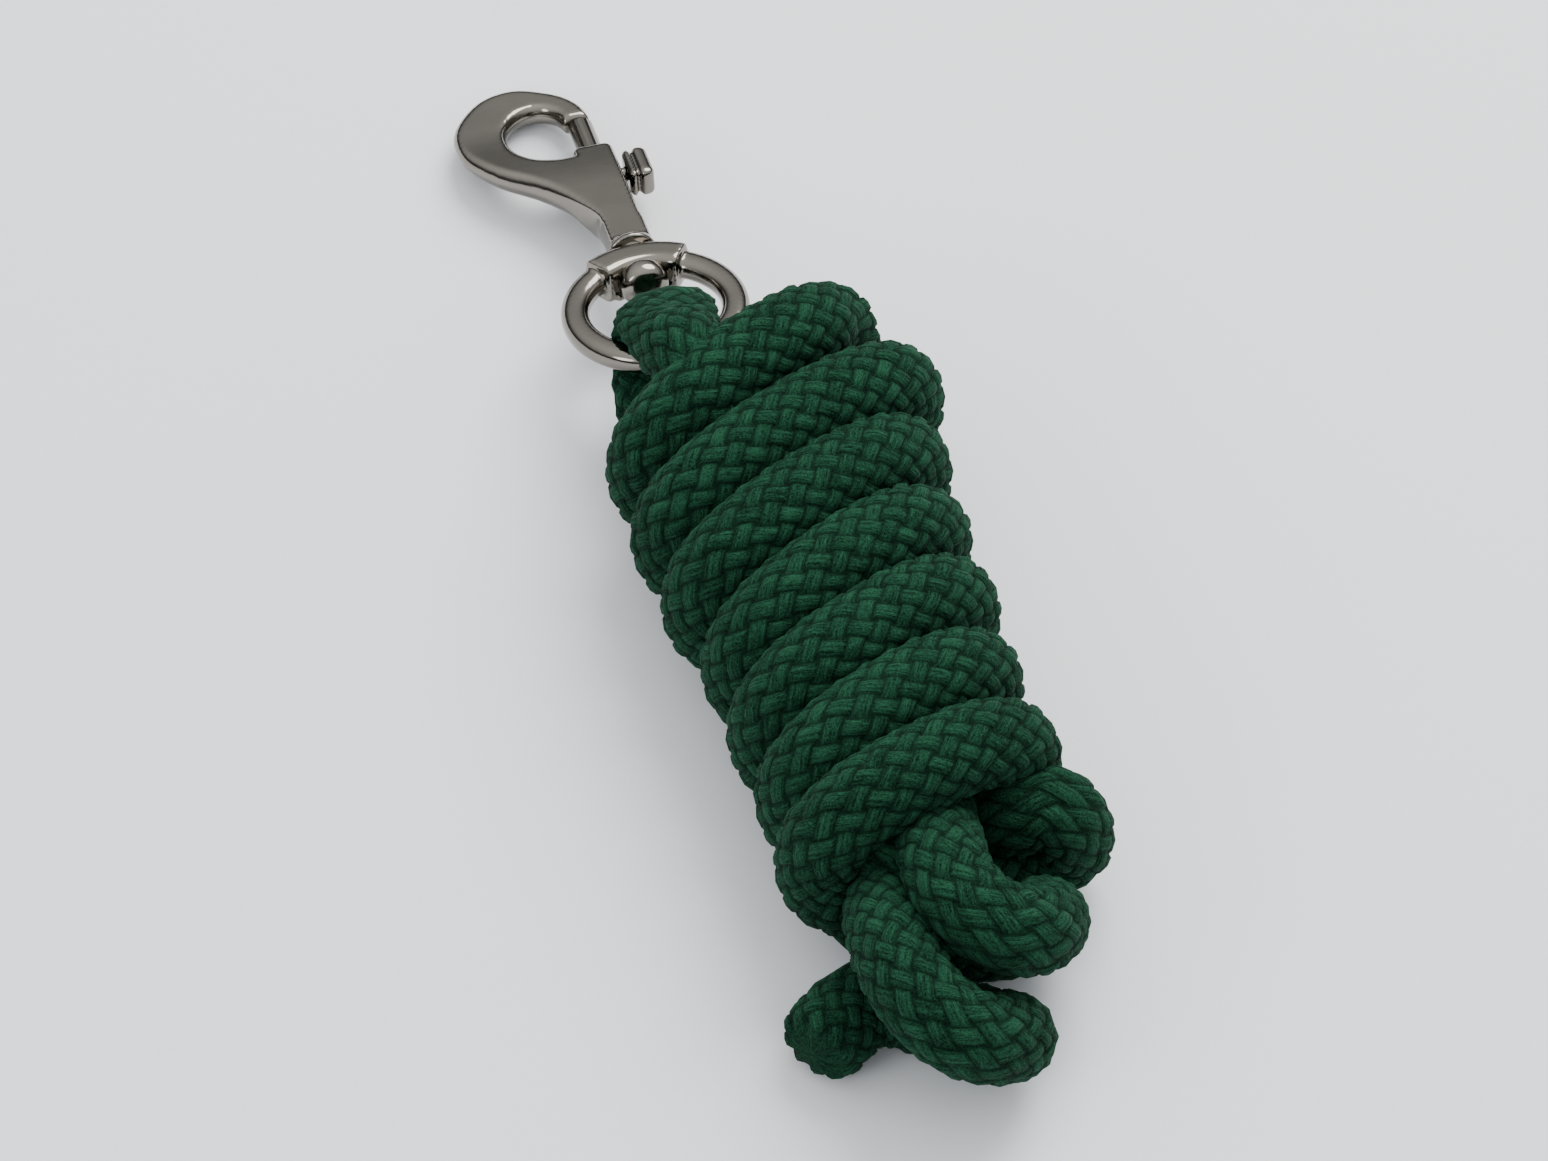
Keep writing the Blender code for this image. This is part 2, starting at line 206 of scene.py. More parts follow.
CLOSING_TURNS = [(-8, -96, 9.2), (5, -92, 9.2), (13, -87, 9.4), (17.5, -84, 14), (18.6, -87.5, 20.5),
                 (22, -91.5, 25), (26, -92.7, 26.5), (30.1, -94.1, 25), (32.6, -94.2, 19),
                 (33, -93, 13.5), (27, -93, 9.4), (16, -94.5, 9.2), (7, -93, 11.5), (3.8, -90.5, 18),
                 (4.2, -92.5, 26), (3.5, -99.6, 32), (1.9, -108, 36), (2.0, -116, 37.3),
                 (6.4, -124, 36), (13.3, -125, 31.5), (19, -118.6, 24), (20.5, -112.5, 16),
                 (14, -109, 10), (5, -106, 9.2), (-3, -101.5, 11), (-6.0, -98.6, 17),
                 (-7.6, -103.4, 22.5), (-10.4, -111, 26.5), (-12, -120, 29.5), (-11.8, -129.7, 30.5),
                 (-8.5, -138, 29), (-2.2, -142, 25), (4.6, -139.2, 18.5), (6.9, -134.2, 12),
                 (0, -127.5, 9.2), (-9, -119.3, 9.2), (-17, -117, 9.2), (-24, -120.4, 9.2),
                 (-30.4, -125.3, 9.2)]


def signed_power(value, power):
    return (1 if value >= 0 else -1) * abs(value) ** power


def wrap_point(wrap, angle):
    """A place on one wrap: over the top from right to left, and back underneath to the next wrap."""
    across = signed_power(cos(radians(angle)), 2 / WRAP_FULLNESS)
    up = signed_power(sin(radians(angle)), 2 / WRAP_FULLNESS)
    over = sin(radians(angle)) >= 0
    coming = wrap if over else min(wrap + 1, len(WRAP_RIGHT) - 1)
    right_y = FIRST_WRAP_Y - WRAP_PITCH * (wrap if over else wrap + 1)
    left, left_y = WRAP_LEFT[wrap], WRAP_LEFT_Y[wrap]
    right = WRAP_RIGHT[coming]
    lean = WRAP_LEAN * sin(radians(angle)) if over else 0.0
    return ((right + left) / 2 + (right - left) / 2 * across,
            (right_y + left_y) / 2 + (right_y - left_y) / 2 * across - lean,
            WRAP_MIDDLE_Z + WRAP_HALF_HEIGHT * up)


def rope_route():
    """The points that the rope runs through, in millimetres in the frame."""
    wraps = []
    for wrap in range(len(WRAP_RIGHT)):
        for step in range(POINTS_PER_WRAP):
            angle = 360.0 * step / POINTS_PER_WRAP
            wraps.append(wrap_point(wrap, angle))
            if wrap == len(WRAP_RIGHT) - 1 and angle > LAST_WRAP_TURN:
                break
    return np.array(BIGHT + INNER_STRANDS + wraps + CLOSING_TURNS, float) + LAYOUT


def smooth_line(points, step):
    """Points a step apart on the cubic spline through the given ones, and the spline's length."""
    gaps = np.linalg.norm(np.diff(points, axis=0), axis=1) ** 0.5
    knots = np.concatenate([[0.0], np.cumsum(gaps)])
    count = len(points)
    matrix, sides = np.eye(count), np.zeros((count, 3))
    for k in range(1, count - 1):
        before, after = gaps[k - 1], gaps[k]
        matrix[k, k - 1:k + 2] = before, 2 * (before + after), after
        sides[k] = 6 * ((points[k + 1] - points[k]) / after - (points[k] - points[k - 1]) / before)
    bends = np.linalg.solve(matrix, sides)

    def at(place):
        k = np.clip(np.searchsorted(knots, place, side="right") - 1, 0, count - 2)
        width = gaps[k][:, None]
        past, left = (place - knots[k])[:, None], (knots[k + 1] - place)[:, None]
        return (bends[k] * left ** 3 / (6 * width) + bends[k + 1] * past ** 3 / (6 * width)
                + (points[k] / width - bends[k] * width / 6) * left
                + (points[k + 1] / width - bends[k + 1] * width / 6) * past)

    fine = np.linspace(0, knots[-1], 30 * count)
    places = at(fine)
    run = np.concatenate([[0.0], np.cumsum(np.linalg.norm(np.diff(places, axis=0), axis=1))])
    rings = int(run[-1] / step)
    return at(np.interp(np.linspace(0, run[-1], rings + 1), run, fine)), run[-1]


# ---------------------------------------------------------------------------------------------------
# Rope: its braid
# ---------------------------------------------------------------------------------------------------

STRANDS_EACH_WAY = 10
CELL_STEPS = 4                      # mesh steps along each side of one crossing
STRAND_PITCH = 2 * pi * ROPE_RADIUS / (2 ** 0.5 * STRANDS_EACH_WAY)
RING_STEP = STRAND_PITCH / (2 ** 0.5 * CELL_STEPS)
STRAND_RELIEF = 1.1                 # from a strand's crown down to the hollows
CROWN_RADIUS = ROPE_RADIUS + 0.22
SIDE_HEIGHT = 0.30                  # a crossing's height at its edges, of its height at the middle
NARROWING = 0.105                   # how far a strand's edge draws in where it lies on top
FLAT_PLACE = np.array([-7.8, 45.9, 23.2]) + LAYOUT      # the ring's bar inside the bight
FLAT_REACH = (11.0, 22.0)           # wholly flat nearer than this, and round again beyond that
FLAT_THICKNESS = 0.63
FLAT_WIDTH = 1.2
CELL_NUDGES = np.array([0.0, -0.125, 0.0, 0.125])       # bring a crossing's outer rows nearer its edges
ROUND_ACROSS = 4.6                  # powers of a strand's outline, across it and along it
ROUND_ALONG = 3.0
LOWEST_CROWN = 0.86                 # crossings stand up unevenly, from this share of the full height
CROWN_SPREAD = 0.28
MAP_SHIFTS = (3.0, 2.0)             # each crossing shows another piece of the yarn pattern
CORNER_WANDER = 0.13                # how far the hollows stray, in strand widths


def scatter(first, second, seed):
    """A repeatable random number from 0 to 1 for each pair of whole numbers."""
    mixed = np.sin(first * 127.1 + second * 311.7 + seed * 74.7) * 43758.5453
    return mixed - np.floor(mixed)


def carried_frames(line):
    """A tangent and a sideways direction at each point, carried along without twisting."""
    tangents = np.gradient(line, axis=0)
    tangents /= np.linalg.norm(tangents, axis=1)[:, None]
    sides = np.zeros_like(line)
    side = np.cross(tangents[0], (0.0, 0.0, 1.0))
    for k, tangent in enumerate(tangents):
        side = side - tangent * np.dot(side, tangent)
        side = side / np.linalg.norm(side)
        sides[k] = side
    return tangents, sides


def braid_tube(line):
    """Vertices, faces and surface values of the braided rope along a line, in millimetres.

    The mesh runs at 45 degrees to the rope with the strands, so that their edges are its edges.
    """
    tangents, sides = carried_frames(line)
    ups = np.cross(tangents, sides)
    per_ring = STRANDS_EACH_WAY * CELL_STEPS
    rings = len(line)
    ring, step = np.meshgrid(np.arange(rings), np.arange(per_ring), indexing="ij")
    around = 2 * step + ring % 2
    total = 2 * per_ring

    # the vertex's place in steps along the two ways that the strands run
    one, two = (ring + around) // 2, (ring - around) // 2
    one_cell, two_cell = one // CELL_STEPS, two // CELL_STEPS
    one_in, two_in = one % CELL_STEPS, two % CELL_STEPS

    # a crossing's number along the rope and round it, the same on both sides of the tube's seam
    along_id = one_cell + two_cell
    around_id = (one_cell - two_cell) % (2 * STRANDS_EACH_WAY)
    one_on_top = along_id % 2 == 0

    def profile(inside, power):
        across = np.abs(2 * (inside / CELL_STEPS + CELL_NUDGES[inside]) - 1)
        return 1 - (1 - SIDE_HEIGHT) * across ** power

    height = np.where(one_on_top, profile(one_in, ROUND_ACROSS) * profile(two_in, ROUND_ALONG),
                      profile(one_in, ROUND_ALONG) * profile(two_in, ROUND_ACROSS))
    within = (one_in > 0) & (two_in > 0)
    crowns = LOWEST_CROWN + CROWN_SPREAD * scatter(along_id, around_id, 1)
    height = height * np.where(within, crowns, 1.0)

    # a strand draws in at its sides and reaches further along where it lies on top
    across_one = one_in / CELL_STEPS + CELL_NUDGES[one_in]
    across_two = two_in / CELL_STEPS + CELL_NUDGES[two_in]
    draw = 2 * NARROWING * np.where(one_on_top, -1.0, 1.0)
    corner = (one_in == 0) & (two_in == 0)
    wander_one = one_cell + across_one + np.where(two_in == 0, 0, draw * (across_one - 0.5))
    wander_two = two_cell + across_two - np.where(one_in == 0, 0, draw * (across_two - 0.5))
    stray_one = CORNER_WANDER * (scatter(along_id, around_id, 2) - 0.5)
    stray_two = CORNER_WANDER * (scatter(along_id, around_id, 3) - 0.5)
    wander_one = wander_one + np.where(corner, stray_one, 0)
    wander_two = wander_two + np.where(corner, stray_two, 0)

    run = (wander_one + wander_two) * CELL_STEPS
    turn = (wander_one - wander_two) * CELL_STEPS * 2 * pi / total
    radius = CROWN_RADIUS - STRAND_RELIEF * (1 - height)

    # the strand's place along the line, which the nudges move a little between the rings
    low = np.clip(np.floor(run).astype(int), 0, rings - 2)
    part = np.clip(run - low, -1.0, 2.0)[..., None]
    centre = line[low] * (1 - part) + line[low + 1] * part
    side = sides[low] * (1 - part) + sides[low + 1] * part
    up = ups[low] * (1 - part) + ups[low + 1] * part
    tangent = tangents[low]
    offset = (side * np.cos(turn)[..., None] + up * np.sin(turn)[..., None]) * radius[..., None]
    offset = pressed_flat(offset, centre, tangent)
    return centre + offset, height, one_on_top, (along_id, around_id)


def pressed_flat(offset, centre, tangent):
    """Flattens the rope where it bends round the ring's bar."""
    away = centre - FLAT_PLACE
    away[..., 0] = 0.0
    distance = np.linalg.norm(away, axis=-1)
    low, high = FLAT_REACH
    amount = np.clip((high - distance) / (high - low), 0, 1)
    amount = amount * amount * (3 - 2 * amount)
    outwards = away - tangent * np.sum(away * tangent, axis=-1)[..., None]
    outwards /= np.linalg.norm(outwards, axis=-1)[..., None] + 1e-9
    thick = np.sum(offset * outwards, axis=-1)[..., None] * outwards
    amount = amount[..., None]
    return (thick * (1 + amount * (FLAT_THICKNESS - 1))
            + (offset - thick) * (1 + amount * (FLAT_WIDTH - 1)))


def make_rope(line):
    """The braided rope as one closed mesh, with values for its material on faces and points."""
    places, height, one_on_top, (along_id, around_id) = braid_tube(line)
    rings, per_ring = height.shape
    tips = shape_ends(places, line)
    verts = np.concatenate([places.reshape(-1, 3), tips]) * MM
    first, last = rings * per_ring, rings * per_ring + 1

    faces, over, picks = [], [], []
    # every face spans two rings, because each ring's points lie halfway between the last one's
    for ring in range(rings - 2):
        shift = ring % 2
        for step in range(per_ring):
            here = ring * per_ring + step
            right = (ring + 1) * per_ring + (step + shift) % per_ring
            left = (ring + 1) * per_ring + (step - 1 + shift) % per_ring
            ahead = (ring + 2) * per_ring + step
            faces.append((here, right, ahead, left))
            picks.append((ring, step))
    base, end = (rings - 2) * per_ring, (rings - 1) * per_ring
    shift = (rings - 1) % 2
    for step in range(per_ring):
        after = (step + 1) % per_ring
        faces += [(first, after, step), (step, after, per_ring + step),
                  (last, end + step, end + after),
                  (end + after, end + step, base + (step + shift) % per_ring)]
        picks += [(0, step), (0, step), (rings - 1, step), (rings - 1, step)]

    mesh = bpy.data.meshes.new("rope")
    mesh.from_pydata(verts.tolist(), [], faces)
    picks = np.array(picks)
    ring, step = picks[:, 0], picks[:, 1]
    number = scatter(along_id[ring, step], around_id[ring, step], 5)
    add_value(mesh, "crossing", "FACE", number)
    # the crown value also drives painted shade in the material: low crowns, in the hollows, are coloured
    # darker
    height[:2] = height[-2:] = END_CROWN
    add_value(mesh, "crown", "POINT", np.concatenate([height.reshape(-1), [TIP_CROWN, TIP_CROWN]]))
    add_strand_map(mesh, ring, step, one_on_top, number)
    rope = bpy.data.objects.new("braided_rope", mesh)
    bpy.context.scene.collection.objects.link(rope)
    for polygon in mesh.polygons:
        polygon.use_smooth = True
    return rope


def add_value(mesh, name, domain, values):
    """Stores one number for each face or point under a name that the material reads."""
    layer = mesh.attributes.new(name, "FLOAT", domain)
    layer.data.foreach_set("value", np.asarray(values, np.float32))


def add_strand_map(mesh, ring, step, one_on_top, number):
    """A map in strand widths: across the upper strand, and along it."""
    size = CELL_STEPS
    around = 2 * step + ring % 2
    one, two = (ring + around) // 2, (ring - around) // 2
    layer = mesh.uv_layers.new(name="strands")
    values = np.zeros((len(mesh.loops), 2), np.float32)
    starts = np.empty(len(mesh.polygons), np.int64)
    counts = np.empty(len(mesh.polygons), np.int64)
    mesh.polygons.foreach_get("loop_start", starts)
    mesh.polygons.foreach_get("loop_total", counts)
    moves = [(0, 0), (1, 0), (1, 1), (0, 1)]
    top = one_on_top[ring, step]
    for corner, (add_one, add_two) in enumerate(moves):
        in_one = (one % size + add_one) / size
        in_two = (two % size + add_two) / size
        across = np.where(top, in_one, in_two) + MAP_SHIFTS[0] * np.floor(number * 50)
        along = np.where(top, in_two, in_one) + MAP_SHIFTS[1] * np.floor(number * 90)
        whole = counts > corner
        values[starts[whole] + corner, 0] = across[whole]
        values[starts[whole] + corner, 1] = along[whole]
    layer.data.foreach_set("uv", values.reshape(-1))


END_CROWN = 0.5                     # the material's crown value on the melted ends, which sets how much painted shade they get; TIP_CROWN does the same at the tips
TIP_CROWN = 0.6
END_RINGS = 14                      # how many rings an end's shape takes in
FLARE = 0.03                        # of the rope's radius
FLARE_DEPTH = 8.0                   # how far in from the end the flare, the rounding and the melting reach
ROUND_DEPTH = 5
MELT_DEPTH = 2.0
TIP_SIZE = 0.45                     # of the rope's radius, where the rounded end meets its cap
CAP_RISE = 0.35


def shape_ends(places, line):
    """Draws the first and last rings in to a melted, slightly flared end, and returns the two tips."""
    rings = len(line)
    tips = []
    for end, inwards in ((0, 1), (rings - 1, -1)):
        inner = line[end + 2 * inwards] - line[end]
        inner = inner / np.linalg.norm(inner)
        for k in range(END_RINGS):
            ring = end + k * inwards
            depth = k * RING_STEP
            flare = 1 + FLARE * max(0.0, 1 - depth / FLARE_DEPTH)
            round_off = 1.0
            if depth <= ROUND_DEPTH:
                round_off = TIP_SIZE + (1 - TIP_SIZE) * (1 - (1 - depth / ROUND_DEPTH) ** 2) ** 0.5
            arms = places[ring] - line[ring]
            reach = np.linalg.norm(arms, axis=1)[:, None]
            melted = max(0.0, 1 - depth / MELT_DEPTH)
            even = reach * (1 - melted) + ROPE_RADIUS * melted
            places[ring] = line[ring] + arms / reach * even * flare * round_off
        tips.append(line[end] - inner * CAP_RISE)
    return np.array(tips)


route, rope_length = smooth_line(rope_route(), RING_STEP)
rope = make_rope(route)


def braid_finish():
    """Bottle green polyester: fine filaments along each strand, a little fuzzy, with painted shade
    darkening the hollows between strands.
    """
    braid = Finish("bottle_green_braid", Sheen_Weight=0.025, Sheen_Roughness=0.4,
                   Specular_IOR_Level=0.05, Sheen_Tint=(0.45, 0.85, 0.62, 1.0))
    strands = braid.add("ShaderNodeUVMap", {"uv_map": "strands"})
    crown = braid.add("ShaderNodeAttribute", {"attribute_name": "crown"}, output=2)
    crossing = braid.add("ShaderNodeAttribute", {"attribute_name": "crossing"}, output=2)
    where = braid.add("ShaderNodeTexCoord", output=3)
    yarns = braid.noise(braid.stretched(strands, (9.0, 1.1, 1.0)), 1.0, 2.0, 0.55)
    filaments = braid.noise(braid.stretched(strands, (34.0, 4.5, 1.0)), 1.0, 2.0, 0.6)
    fuzz = braid.noise(where, 2600.0, 3.0, 0.65)
    patches = braid.noise(where, 90.0, 2.0, 0.5)
    light = (yarns * 1.7 + filaments * 1.5 + fuzz * 2.2 + crossing * 0.22 + patches * 0.3 - 2.45).held()
    green = braid.mix(light, (0.0012, 0.0105, 0.0050, 1), (0.0150, 0.078, 0.040, 1))
    # painted shade: where the crown value is low, in the hollows between strands, the green is mixed
    # towards a near black
    depth = braid.add("ShaderNodeMapRange", {"interpolation_type": "SMOOTHSTEP"},
                      [crown, 0.16, 0.8, 0.0, 1.0])
    green = braid.mix(depth, braid.mix(0.7, green, (0.0006, 0.004, 0.0022, 1)), green)
    relief = yarns * 0.7 + filaments * 0.35 + fuzz * 0.35
    return braid.feed(Base_Color=green, Roughness=0.9 - light * 0.22,
                      Normal=braid.bump(relief, 0.0008, 0.9))


rope.data.materials.append(braid_finish())
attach(rope, "rope")
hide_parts("rope_hank", "rope_closing_turns", "rope_free_end", "rope_eye")
tuple(route[0] * MM)
rope_length * MM
(route[::4] * MM).tolist()


# ---------------------------------------------------------------------------------------------------
# Snap
# ---------------------------------------------------------------------------------------------------

def plated_finish(name, dark, bright, roughness):
    """Polished plating over a casting: soft clouds of tone, and a faint unevenness under the shine."""
    plating = Finish(name, Metallic=1.0)
    where = plating.add("ShaderNodeTexCoord", output=3)
    cast_grain = plating.noise(where, 420.0, 3.0, 0.55)
    clouds = plating.noise(where, 70.0, 2.0, 0.5)
    return plating.feed(Base_Color=plating.mix(clouds, (*dark, 1), (*bright, 1)),
                        Roughness=cast_grain * 0.08 + clouds * 0.08 + (roughness - 0.08),
                        Normal=plating.bump(cast_grain, 0.00003, 0.5))


# The snap's own frame: x across it, y from the ring's middle to the hook's head, z out of its face
SNAP_FRAME = Matrix(((0.999048, 0.042744, 0.008696, -10.73), (-0.043619, 0.978992, 0.199178, 61.09),
                     (0.0, -0.199368, 0.979925, 19.8), (0.0, 0.0, 0.0, 1.0)))
ON_SNAP = Matrix.Scale(MM, 4) @ SNAP_FRAME


def pick_only(*objects):
    """Selects these objects alone, and works on the first."""
    bpy.ops.object.select_all(action="DESELECT")
    for obj in objects:
        obj.select_set(True)
    bpy.context.view_layer.objects.active = objects[0]


def edit_all(obj, *steps):
    """Runs edit-mode steps, each an operator and its settings, on the whole of an object."""
    pick_only(obj)
    bpy.ops.object.mode_set(mode="EDIT")
    bpy.ops.mesh.select_all(action="SELECT")
    for step, settings in steps:
        step(**settings)
    bpy.ops.object.mode_set(mode="OBJECT")


def finish_with(obj, kind, **settings):
    """Adds a modifier and applies it."""
    pick_only(obj)
    modifier = obj.modifiers.new(kind.lower(), kind)
    for key, value in settings.items():
        setattr(modifier, key, value)
    bpy.ops.object.modifier_apply(modifier=modifier.name)


def settle(obj):
    """Puts a shape made in the snap's frame, in millimetres, into its place."""
    pick_only(obj)
    obj.matrix_world = ON_SNAP @ obj.matrix_world
    bpy.ops.object.transform_apply(location=True, rotation=True, scale=True)


def box(place, size, edge, facets):
    """A box with rounded edges, in the snap's frame."""
    bpy.ops.object.select_all(action="DESELECT")
    bpy.ops.mesh.primitive_cube_add(size=1.0)
    shape = bpy.context.object
    shape.scale = size
    bpy.ops.object.transform_apply(scale=True)
    finish_with(shape, "BEVEL", width=edge, segments=facets, limit_method="NONE")
    shape.location = place
    settle(shape)
    return shape


def rod(start, end, radius, end_radius=None, edge=0.0):
    """A round bar, or a taper, along the snap."""
    bpy.ops.object.select_all(action="DESELECT")
    bpy.ops.mesh.primitive_cone_add(vertices=48, radius1=radius, radius2=end_radius or radius,
                                    depth=end - start)
    shape = bpy.context.object
    if edge:
        finish_with(shape, "BEVEL", width=edge, segments=3, limit_method="ANGLE")
    shape.rotation_euler = (-pi / 2, 0, 0)
    shape.location = (0, (start + end) / 2, 0)
    settle(shape)
    return shape


def copy_of(node, name):
    """A frame piece's mesh as a new piece, with its loose triangles merged."""
    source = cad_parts[node]
    shape = bpy.data.objects.new(name, source.data.copy())
    bpy.context.scene.collection.objects.link(shape)
    edit_all(shape, (bpy.ops.mesh.remove_doubles, {"threshold": 0.00001}),
             (bpy.ops.mesh.normals_make_consistent, {"inside": False}))
    return shape


def cast(name, shapes, grain, rounding):
    """Joins overlapping shapes into one casting, with edges softened in a number of rounding steps."""
    pick_only(*shapes)
    if len(shapes) > 1:
        bpy.ops.object.join()
    piece = bpy.context.object
    piece.name = name
    piece.data.name = name
    finish_with(piece, "REMESH", mode="VOXEL", voxel_size=grain * MM, use_smooth_shade=True)
    finish_with(piece, "SMOOTH", factor=0.5, iterations=rounding)
    return piece


def cut(piece, tool):
    """Cuts one shape out of another and removes the tool."""
    pick_only(piece)
    modifier = piece.modifiers.new("cut", "BOOLEAN")
    modifier.operation = "DIFFERENCE"
    modifier.solver = "EXACT"
    modifier.object = tool
    bpy.ops.object.modifier_apply(modifier="cut")
    bpy.data.objects.remove(tool, do_unlink=True)


def dress(piece, material, body, node):
    """Gives a metal piece its finish and its place in the frame."""
    piece.data.materials.clear()
    piece.data.materials.append(material)
    pick_only(piece)
    bpy.ops.object.shade_smooth_by_angle(angle=radians(50))
    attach(piece, body)
    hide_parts(node)


SPIN_STEP = 4.5             # degrees
FEWEST_SPINS = 16


def turned_arc(section, corner, place, angle):
    """A bar of rounded section, bent about the ring's middle and centred on the snap's side of it."""
    middle = (0, 0, 0)
    bpy.ops.object.select_all(action="DESELECT")
    bpy.ops.mesh.primitive_plane_add(size=1.0)
    bar = bpy.context.object
    bar.scale = (*section, 1.0)
    bpy.ops.object.transform_apply(scale=True)
    steps = [(bpy.ops.mesh.bevel, {"offset": corner, "segments": 5, "affect": "VERTICES"}),
             (bpy.ops.transform.rotate, {"value": -pi / 2, "orient_axis": "X",
                                         "center_override": middle}),
             (bpy.ops.transform.translate, {"value": (place[0], 0, place[1])}),
             (bpy.ops.transform.rotate, {"value": -radians(angle / 2 + 90), "orient_axis": "Z",
                                         "center_override": middle}),
             (bpy.ops.mesh.spin, {"steps": max(FEWEST_SPINS, round(angle / SPIN_STEP)),
                                  "angle": radians(angle), "center": middle, "axis": (0, 0, 1)}),
             (bpy.ops.mesh.select_all, {"action": "SELECT"}),
             (bpy.ops.mesh.remove_doubles, {"threshold": 0.001}),
             (bpy.ops.mesh.normals_make_consistent, {"inside": False})]
    edit_all(bar, *steps)
    settle(bar)
    return bar


# All of the snap's measures are millimetres. Rods have a start, an end and a radius along the snap, and
# tapers an end radius and an edge. Boxes have a place, a size, and an edge with its number of facets.

# Ring and block: width and thickness, corner radius, then distance from the ring's middle and height
RING_BAR = ((6.1, 5.4), 2.4, (17.05, 0.0))
BLOCK = ((7.6, 9.0), 2.0, (16.4, 0.0))
BLOCK_LIP = ((3.6, 2.4), 0.9, (13.4, -3.0))
BLOCK_ANGLE = 68.0
LIP_ANGLE = 56.0
SHANK_HOLE = (5.0, 26.0, 3.85)
RING_GRAIN = 0.30


def make_ring():
    """The swivel eye: a ring of rounded bar, and the block that the snap turns in."""
    shapes = [turned_arc(*RING_BAR, 360.0), turned_arc(*BLOCK, BLOCK_ANGLE),
              turned_arc(*BLOCK_LIP, LIP_ANGLE)]
    piece = cast("ring_and_block", shapes, RING_GRAIN, rounding=22)
    cut(piece, rod(*SHANK_HOLE))
    dress(piece, nickel, "eye", "swivel_eye")


# Snap body
SHOULDER = (20.6, 22.4, 5.6, 5.4, 0.5)      # the disc that turns against the block
BOLT_BORE = (30.7, 64.0, 3.0)
BORE_FILLING = (30.0, 59.1, 3.3)            # in place while the casting is shaped
STUD_SLOT = ((4.0, 44.8, 0), (7.0, 14.6, 3.6), 0.4, 2)
SLOT_FILLING = ((2.3, 44.8, 0), (4.0, 15.2, 3.9), 0.1, 1)
SNAP_GRAIN = 0.32
NECK_START = 22.6           # below it the shank and its head stay as turned
NECK_RADIUS = 5.1
BARREL_SIDE = -5.0
BARREL_END = 63.0
HOOK_MIDDLE = Vector((-9.5, 66.0))
HOOK_HALF = 2.8             # half the hook's thickness in the frame
HOOK_WIDENS = (32.0, 46.4)  # the stretch where the hook sweeps out of the barrel
HOOK_SWEEP = 8.3            # and how far out it gets
BARREL_RISE = 1.36          # the face along the barrel, in hook thicknesses
RISE_LOST = 0.42            # by the hook's head
FACE_SLOPE = (44.0, 28.0)   # where the face starts to fall, and over what length
ROOT_BLEND = (31.0, 9.0)    # the same for the hook's growth out of the barrel's round side
EDGE_BLEND = (34.0, 9.0)    # for the rounding of its outer edge
SIDE_BLEND = (1.8, 3.2)     # and, across the snap, from the barrel out into the hook
OUTER_EDGE = (0.9, 1.5, 5.0)    # height of the edge, then how far in it is rounded above and below
INNER_EDGE = (0.0, 1.3, 1.6)
WALL_BAND = 1.0             # side walls are found this near the snap's middle height
WALL_STEEPNESS = 0.8        # where the surface faces this much sideways


def eased(place, start, length):
    """Grows smoothly from 0 at the start to 1 a length further on."""
    share = min(1.0, max(0.0, (place - start) / length))
    return share * share * (3 - 2 * share)


def edge_trees(places, normals):
    """The hook's side walls as two sets of points, outside and round the opening."""
    walls = ([], [])
    for place, normal in zip(places, normals):
        level, sideways = Vector(place[:2]), Vector(normal[:2])
        in_barrel = place.x > BARREL_SIDE and place.y < BARREL_END
        if not in_barrel and abs(place.z) <= WALL_BAND and sideways.length >= WALL_STEEPNESS:
            walls[0 if sideways.dot(level - HOOK_MIDDLE) > 0 else 1].append(level)
    trees = []
    for wall in walls:
        tree = KDTree(len(wall))
        for number, level in enumerate(wall):
            tree.insert((level.x, level.y, 0), number)
        tree.balance()
        trees.append(tree)
    return trees


def rounded(height, gap, edge, amount):
    """Rounds a section in towards its edge: height above the middle, gap from the side wall."""
    level, above, below = edge
    share = min(1.0, gap / (above if height > level else below))
    fullness = (1 - (1 - share) ** 2) ** 0.5
    return level + (height - level) * (1 - amount * (1 - fullness))


def shape_body(body):
    """Runs one flat face over the barrel and the hook, and rounds the hook in towards its edges."""
    back = ON_SNAP.inverted()
    spin = back.to_3x3().normalized()
    places = [back @ vertex.co for vertex in body.data.vertices]
    normals = [(spin @ vertex.normal).normalized() for vertex in body.data.vertices]
    outside, opening = edge_trees(places, normals)
    for vertex, (x, y, z) in zip(body.data.vertices, places):
        if y < NECK_START:
            continue
        rise = BARREL_RISE - RISE_LOST * eased(y, *FACE_SLOPE)
        face = HOOK_HALF * rise
        z = max(-face, min(face, z * rise))
        if y < HOOK_WIDENS[1]:
            share = max(0.0, y - HOOK_WIDENS[0]) / (HOOK_WIDENS[1] - HOOK_WIDENS[0])
            grown = eased(y, *ROOT_BLEND)
            round_side = max(0.0, NECK_RADIUS ** 2 - (z / rise) ** 2) ** 0.5
            x = max(x, -(round_side * (1 - grown) + NECK_RADIUS * grown) - HOOK_SWEEP * share ** 1.5)
        off_barrel = 1.0 if y > BARREL_END else eased(-x, *SIDE_BLEND)
        level = (x, y, 0)
        z = rounded(z, outside.find(level)[2], OUTER_EDGE, off_barrel * eased(y, *EDGE_BLEND))
        z = rounded(z, opening.find(level)[2], INNER_EDGE, off_barrel)
        vertex.co = ON_SNAP @ Vector((x, y, z))


def make_snap():
    """The cast hook with its barrel, and the peened head that holds it in the ring's block."""
    shapes = [copy_of("snap_body", "cast_snap"), rod(*BORE_FILLING), box(*SLOT_FILLING), rod(*SHOULDER)]
    piece = cast("cast_snap", shapes, SNAP_GRAIN, rounding=4)
    shape_body(piece)
    piece = cast("cast_snap", [piece], SNAP_GRAIN, rounding=20)
    cut(piece, rod(*BOLT_BORE))
    cut(piece, box(*STUD_SLOT))
    dress(piece, nickel, "snap", "snap_body")


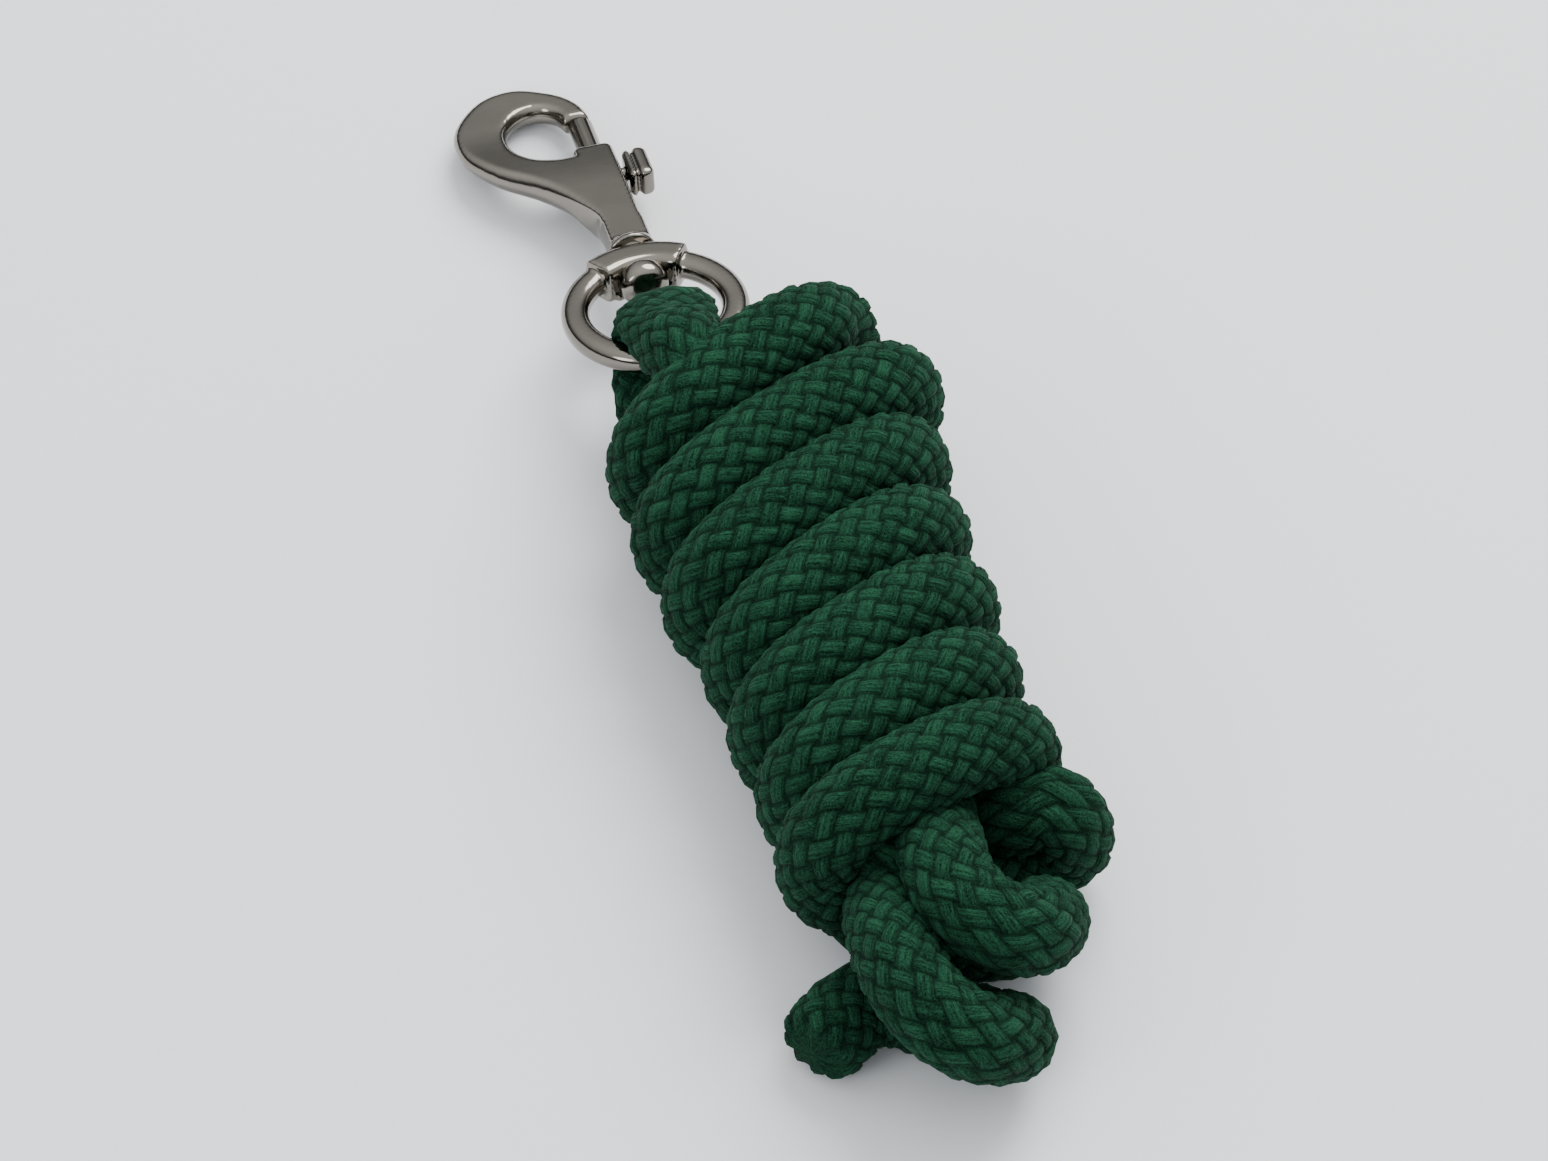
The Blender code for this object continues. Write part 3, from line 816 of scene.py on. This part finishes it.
# Thumb knob and spring
KNOB_START = 5.5
KNOB_STRETCH = 1.3          # outwards
KNOB_FLATTENING = 0.76
KNOB_GROOVE = 7.5
GROOVE_DEPTH = 0.20         # of the knob's own half width there
GROOVE_WIDTH = 0.55
KNOB_GRAIN = 0.22
STEM_PLACE = 50.3


def make_stud():
    """The thumb knob: a flat foot and a thicker grip, with a groove between them."""
    piece = cast("thumb_knob", [copy_of("thumb_stud", "thumb_knob")], KNOB_GRAIN, rounding=2)
    back = ON_SNAP.inverted()
    for vertex in piece.data.vertices:
        x, y, z = back @ vertex.co
        if x > KNOB_START:
            x = KNOB_START + (x - KNOB_START) * KNOB_STRETCH
            groove = GROOVE_DEPTH * exp(-((x - KNOB_GROOVE) / GROOVE_WIDTH) ** 2)
            y = STEM_PLACE + (y - STEM_PLACE) * (1 - groove)
            z *= KNOB_FLATTENING * (1 - groove)
        vertex.co = ON_SNAP @ Vector((x, y, z))
    piece = cast("thumb_knob", [piece], KNOB_GRAIN, rounding=3)
    dress(piece, nickel, "bolt", "thumb_stud")


def make_spring():
    """The coil behind the bolt, which shortens as the bolt is drawn back."""
    spring = copy_of("bolt_spring", "coil_spring")
    dress(spring, steel, "snap", "bolt_spring")
    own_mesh(spring)


nickel = plated_finish("dark_nickel", (0.17, 0.158, 0.137), (0.25, 0.232, 0.202), 0.13)
steel = plated_finish("spring_steel", (0.40, 0.40, 0.41), (0.52, 0.52, 0.52), 0.32)
make_ring()
make_snap()
make_stud()
make_spring()
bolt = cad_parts["snap_bolt"]
bolt.data.materials.clear()
bolt.data.materials.append(nickel)


# ---------------------------------------------------------------------------------------------------
# Floor and light
# ---------------------------------------------------------------------------------------------------

def add_floor():
    """A plain pale floor."""
    bpy.ops.object.select_all(action="DESELECT")
    bpy.ops.mesh.primitive_plane_add(size=6.0, location=(0, 0, 0))
    floor = bpy.context.object
    floor.name = "floor"
    paint = Finish("pale_floor", Base_Color=(0.85, 0.865, 0.90, 1), Roughness=0.9,
                   Specular_IOR_Level=0.1)
    floor.data.materials.append(paint.material)


def add_light(name, place, target, size, power, colour=(1, 1, 1)):
    """A round soft light that faces a target."""
    data = bpy.data.lights.new(name, "AREA")
    data.shape = "DISK"
    data.size = size
    data.energy = power
    data.color = colour
    light = bpy.data.objects.new(name, data)
    bpy.context.scene.collection.objects.link(light)
    light.location = place
    light.rotation_euler = (Vector(target) - Vector(place)).to_track_quat("-Z", "Y").to_euler()


SKY_STRENGTH = 1.10
SKY_GREYS = ((0.0, 0.05), (0.20, 0.14), (0.42, 0.80), (0.7, 1.15), (1.0, 1.45))


def add_sky():
    """A studio that is dim near the floor and bright overhead."""
    world = bpy.data.worlds.new("studio")
    world.use_nodes = True
    nodes = Nodes(world.node_tree)
    where = nodes.add("ShaderNodeTexCoord")
    height = nodes.add("ShaderNodeSeparateXYZ", {}, [where], output=2)
    stops = [(place, (grey * 0.96, grey * 0.98, grey, 1.0)) for place, grey in SKY_GREYS]
    background = world.node_tree.nodes["Background"]
    nodes.put(background.inputs["Color"], nodes.add("ShaderNodeValToRGB", {"stops": stops}, [height]))
    nodes.put(background.inputs["Strength"], SKY_STRENGTH)
    bpy.context.scene.world = world


add_floor()
add_light("soft_box", (0.75, 0.70, 1.35), (0, 0, 0), 1.3, 36.0, (1.0, 0.98, 0.95))
add_light("side_box", (-0.95, -0.50, 0.62), (0, 0.1, 0), 0.5, 3.4)
add_sky()
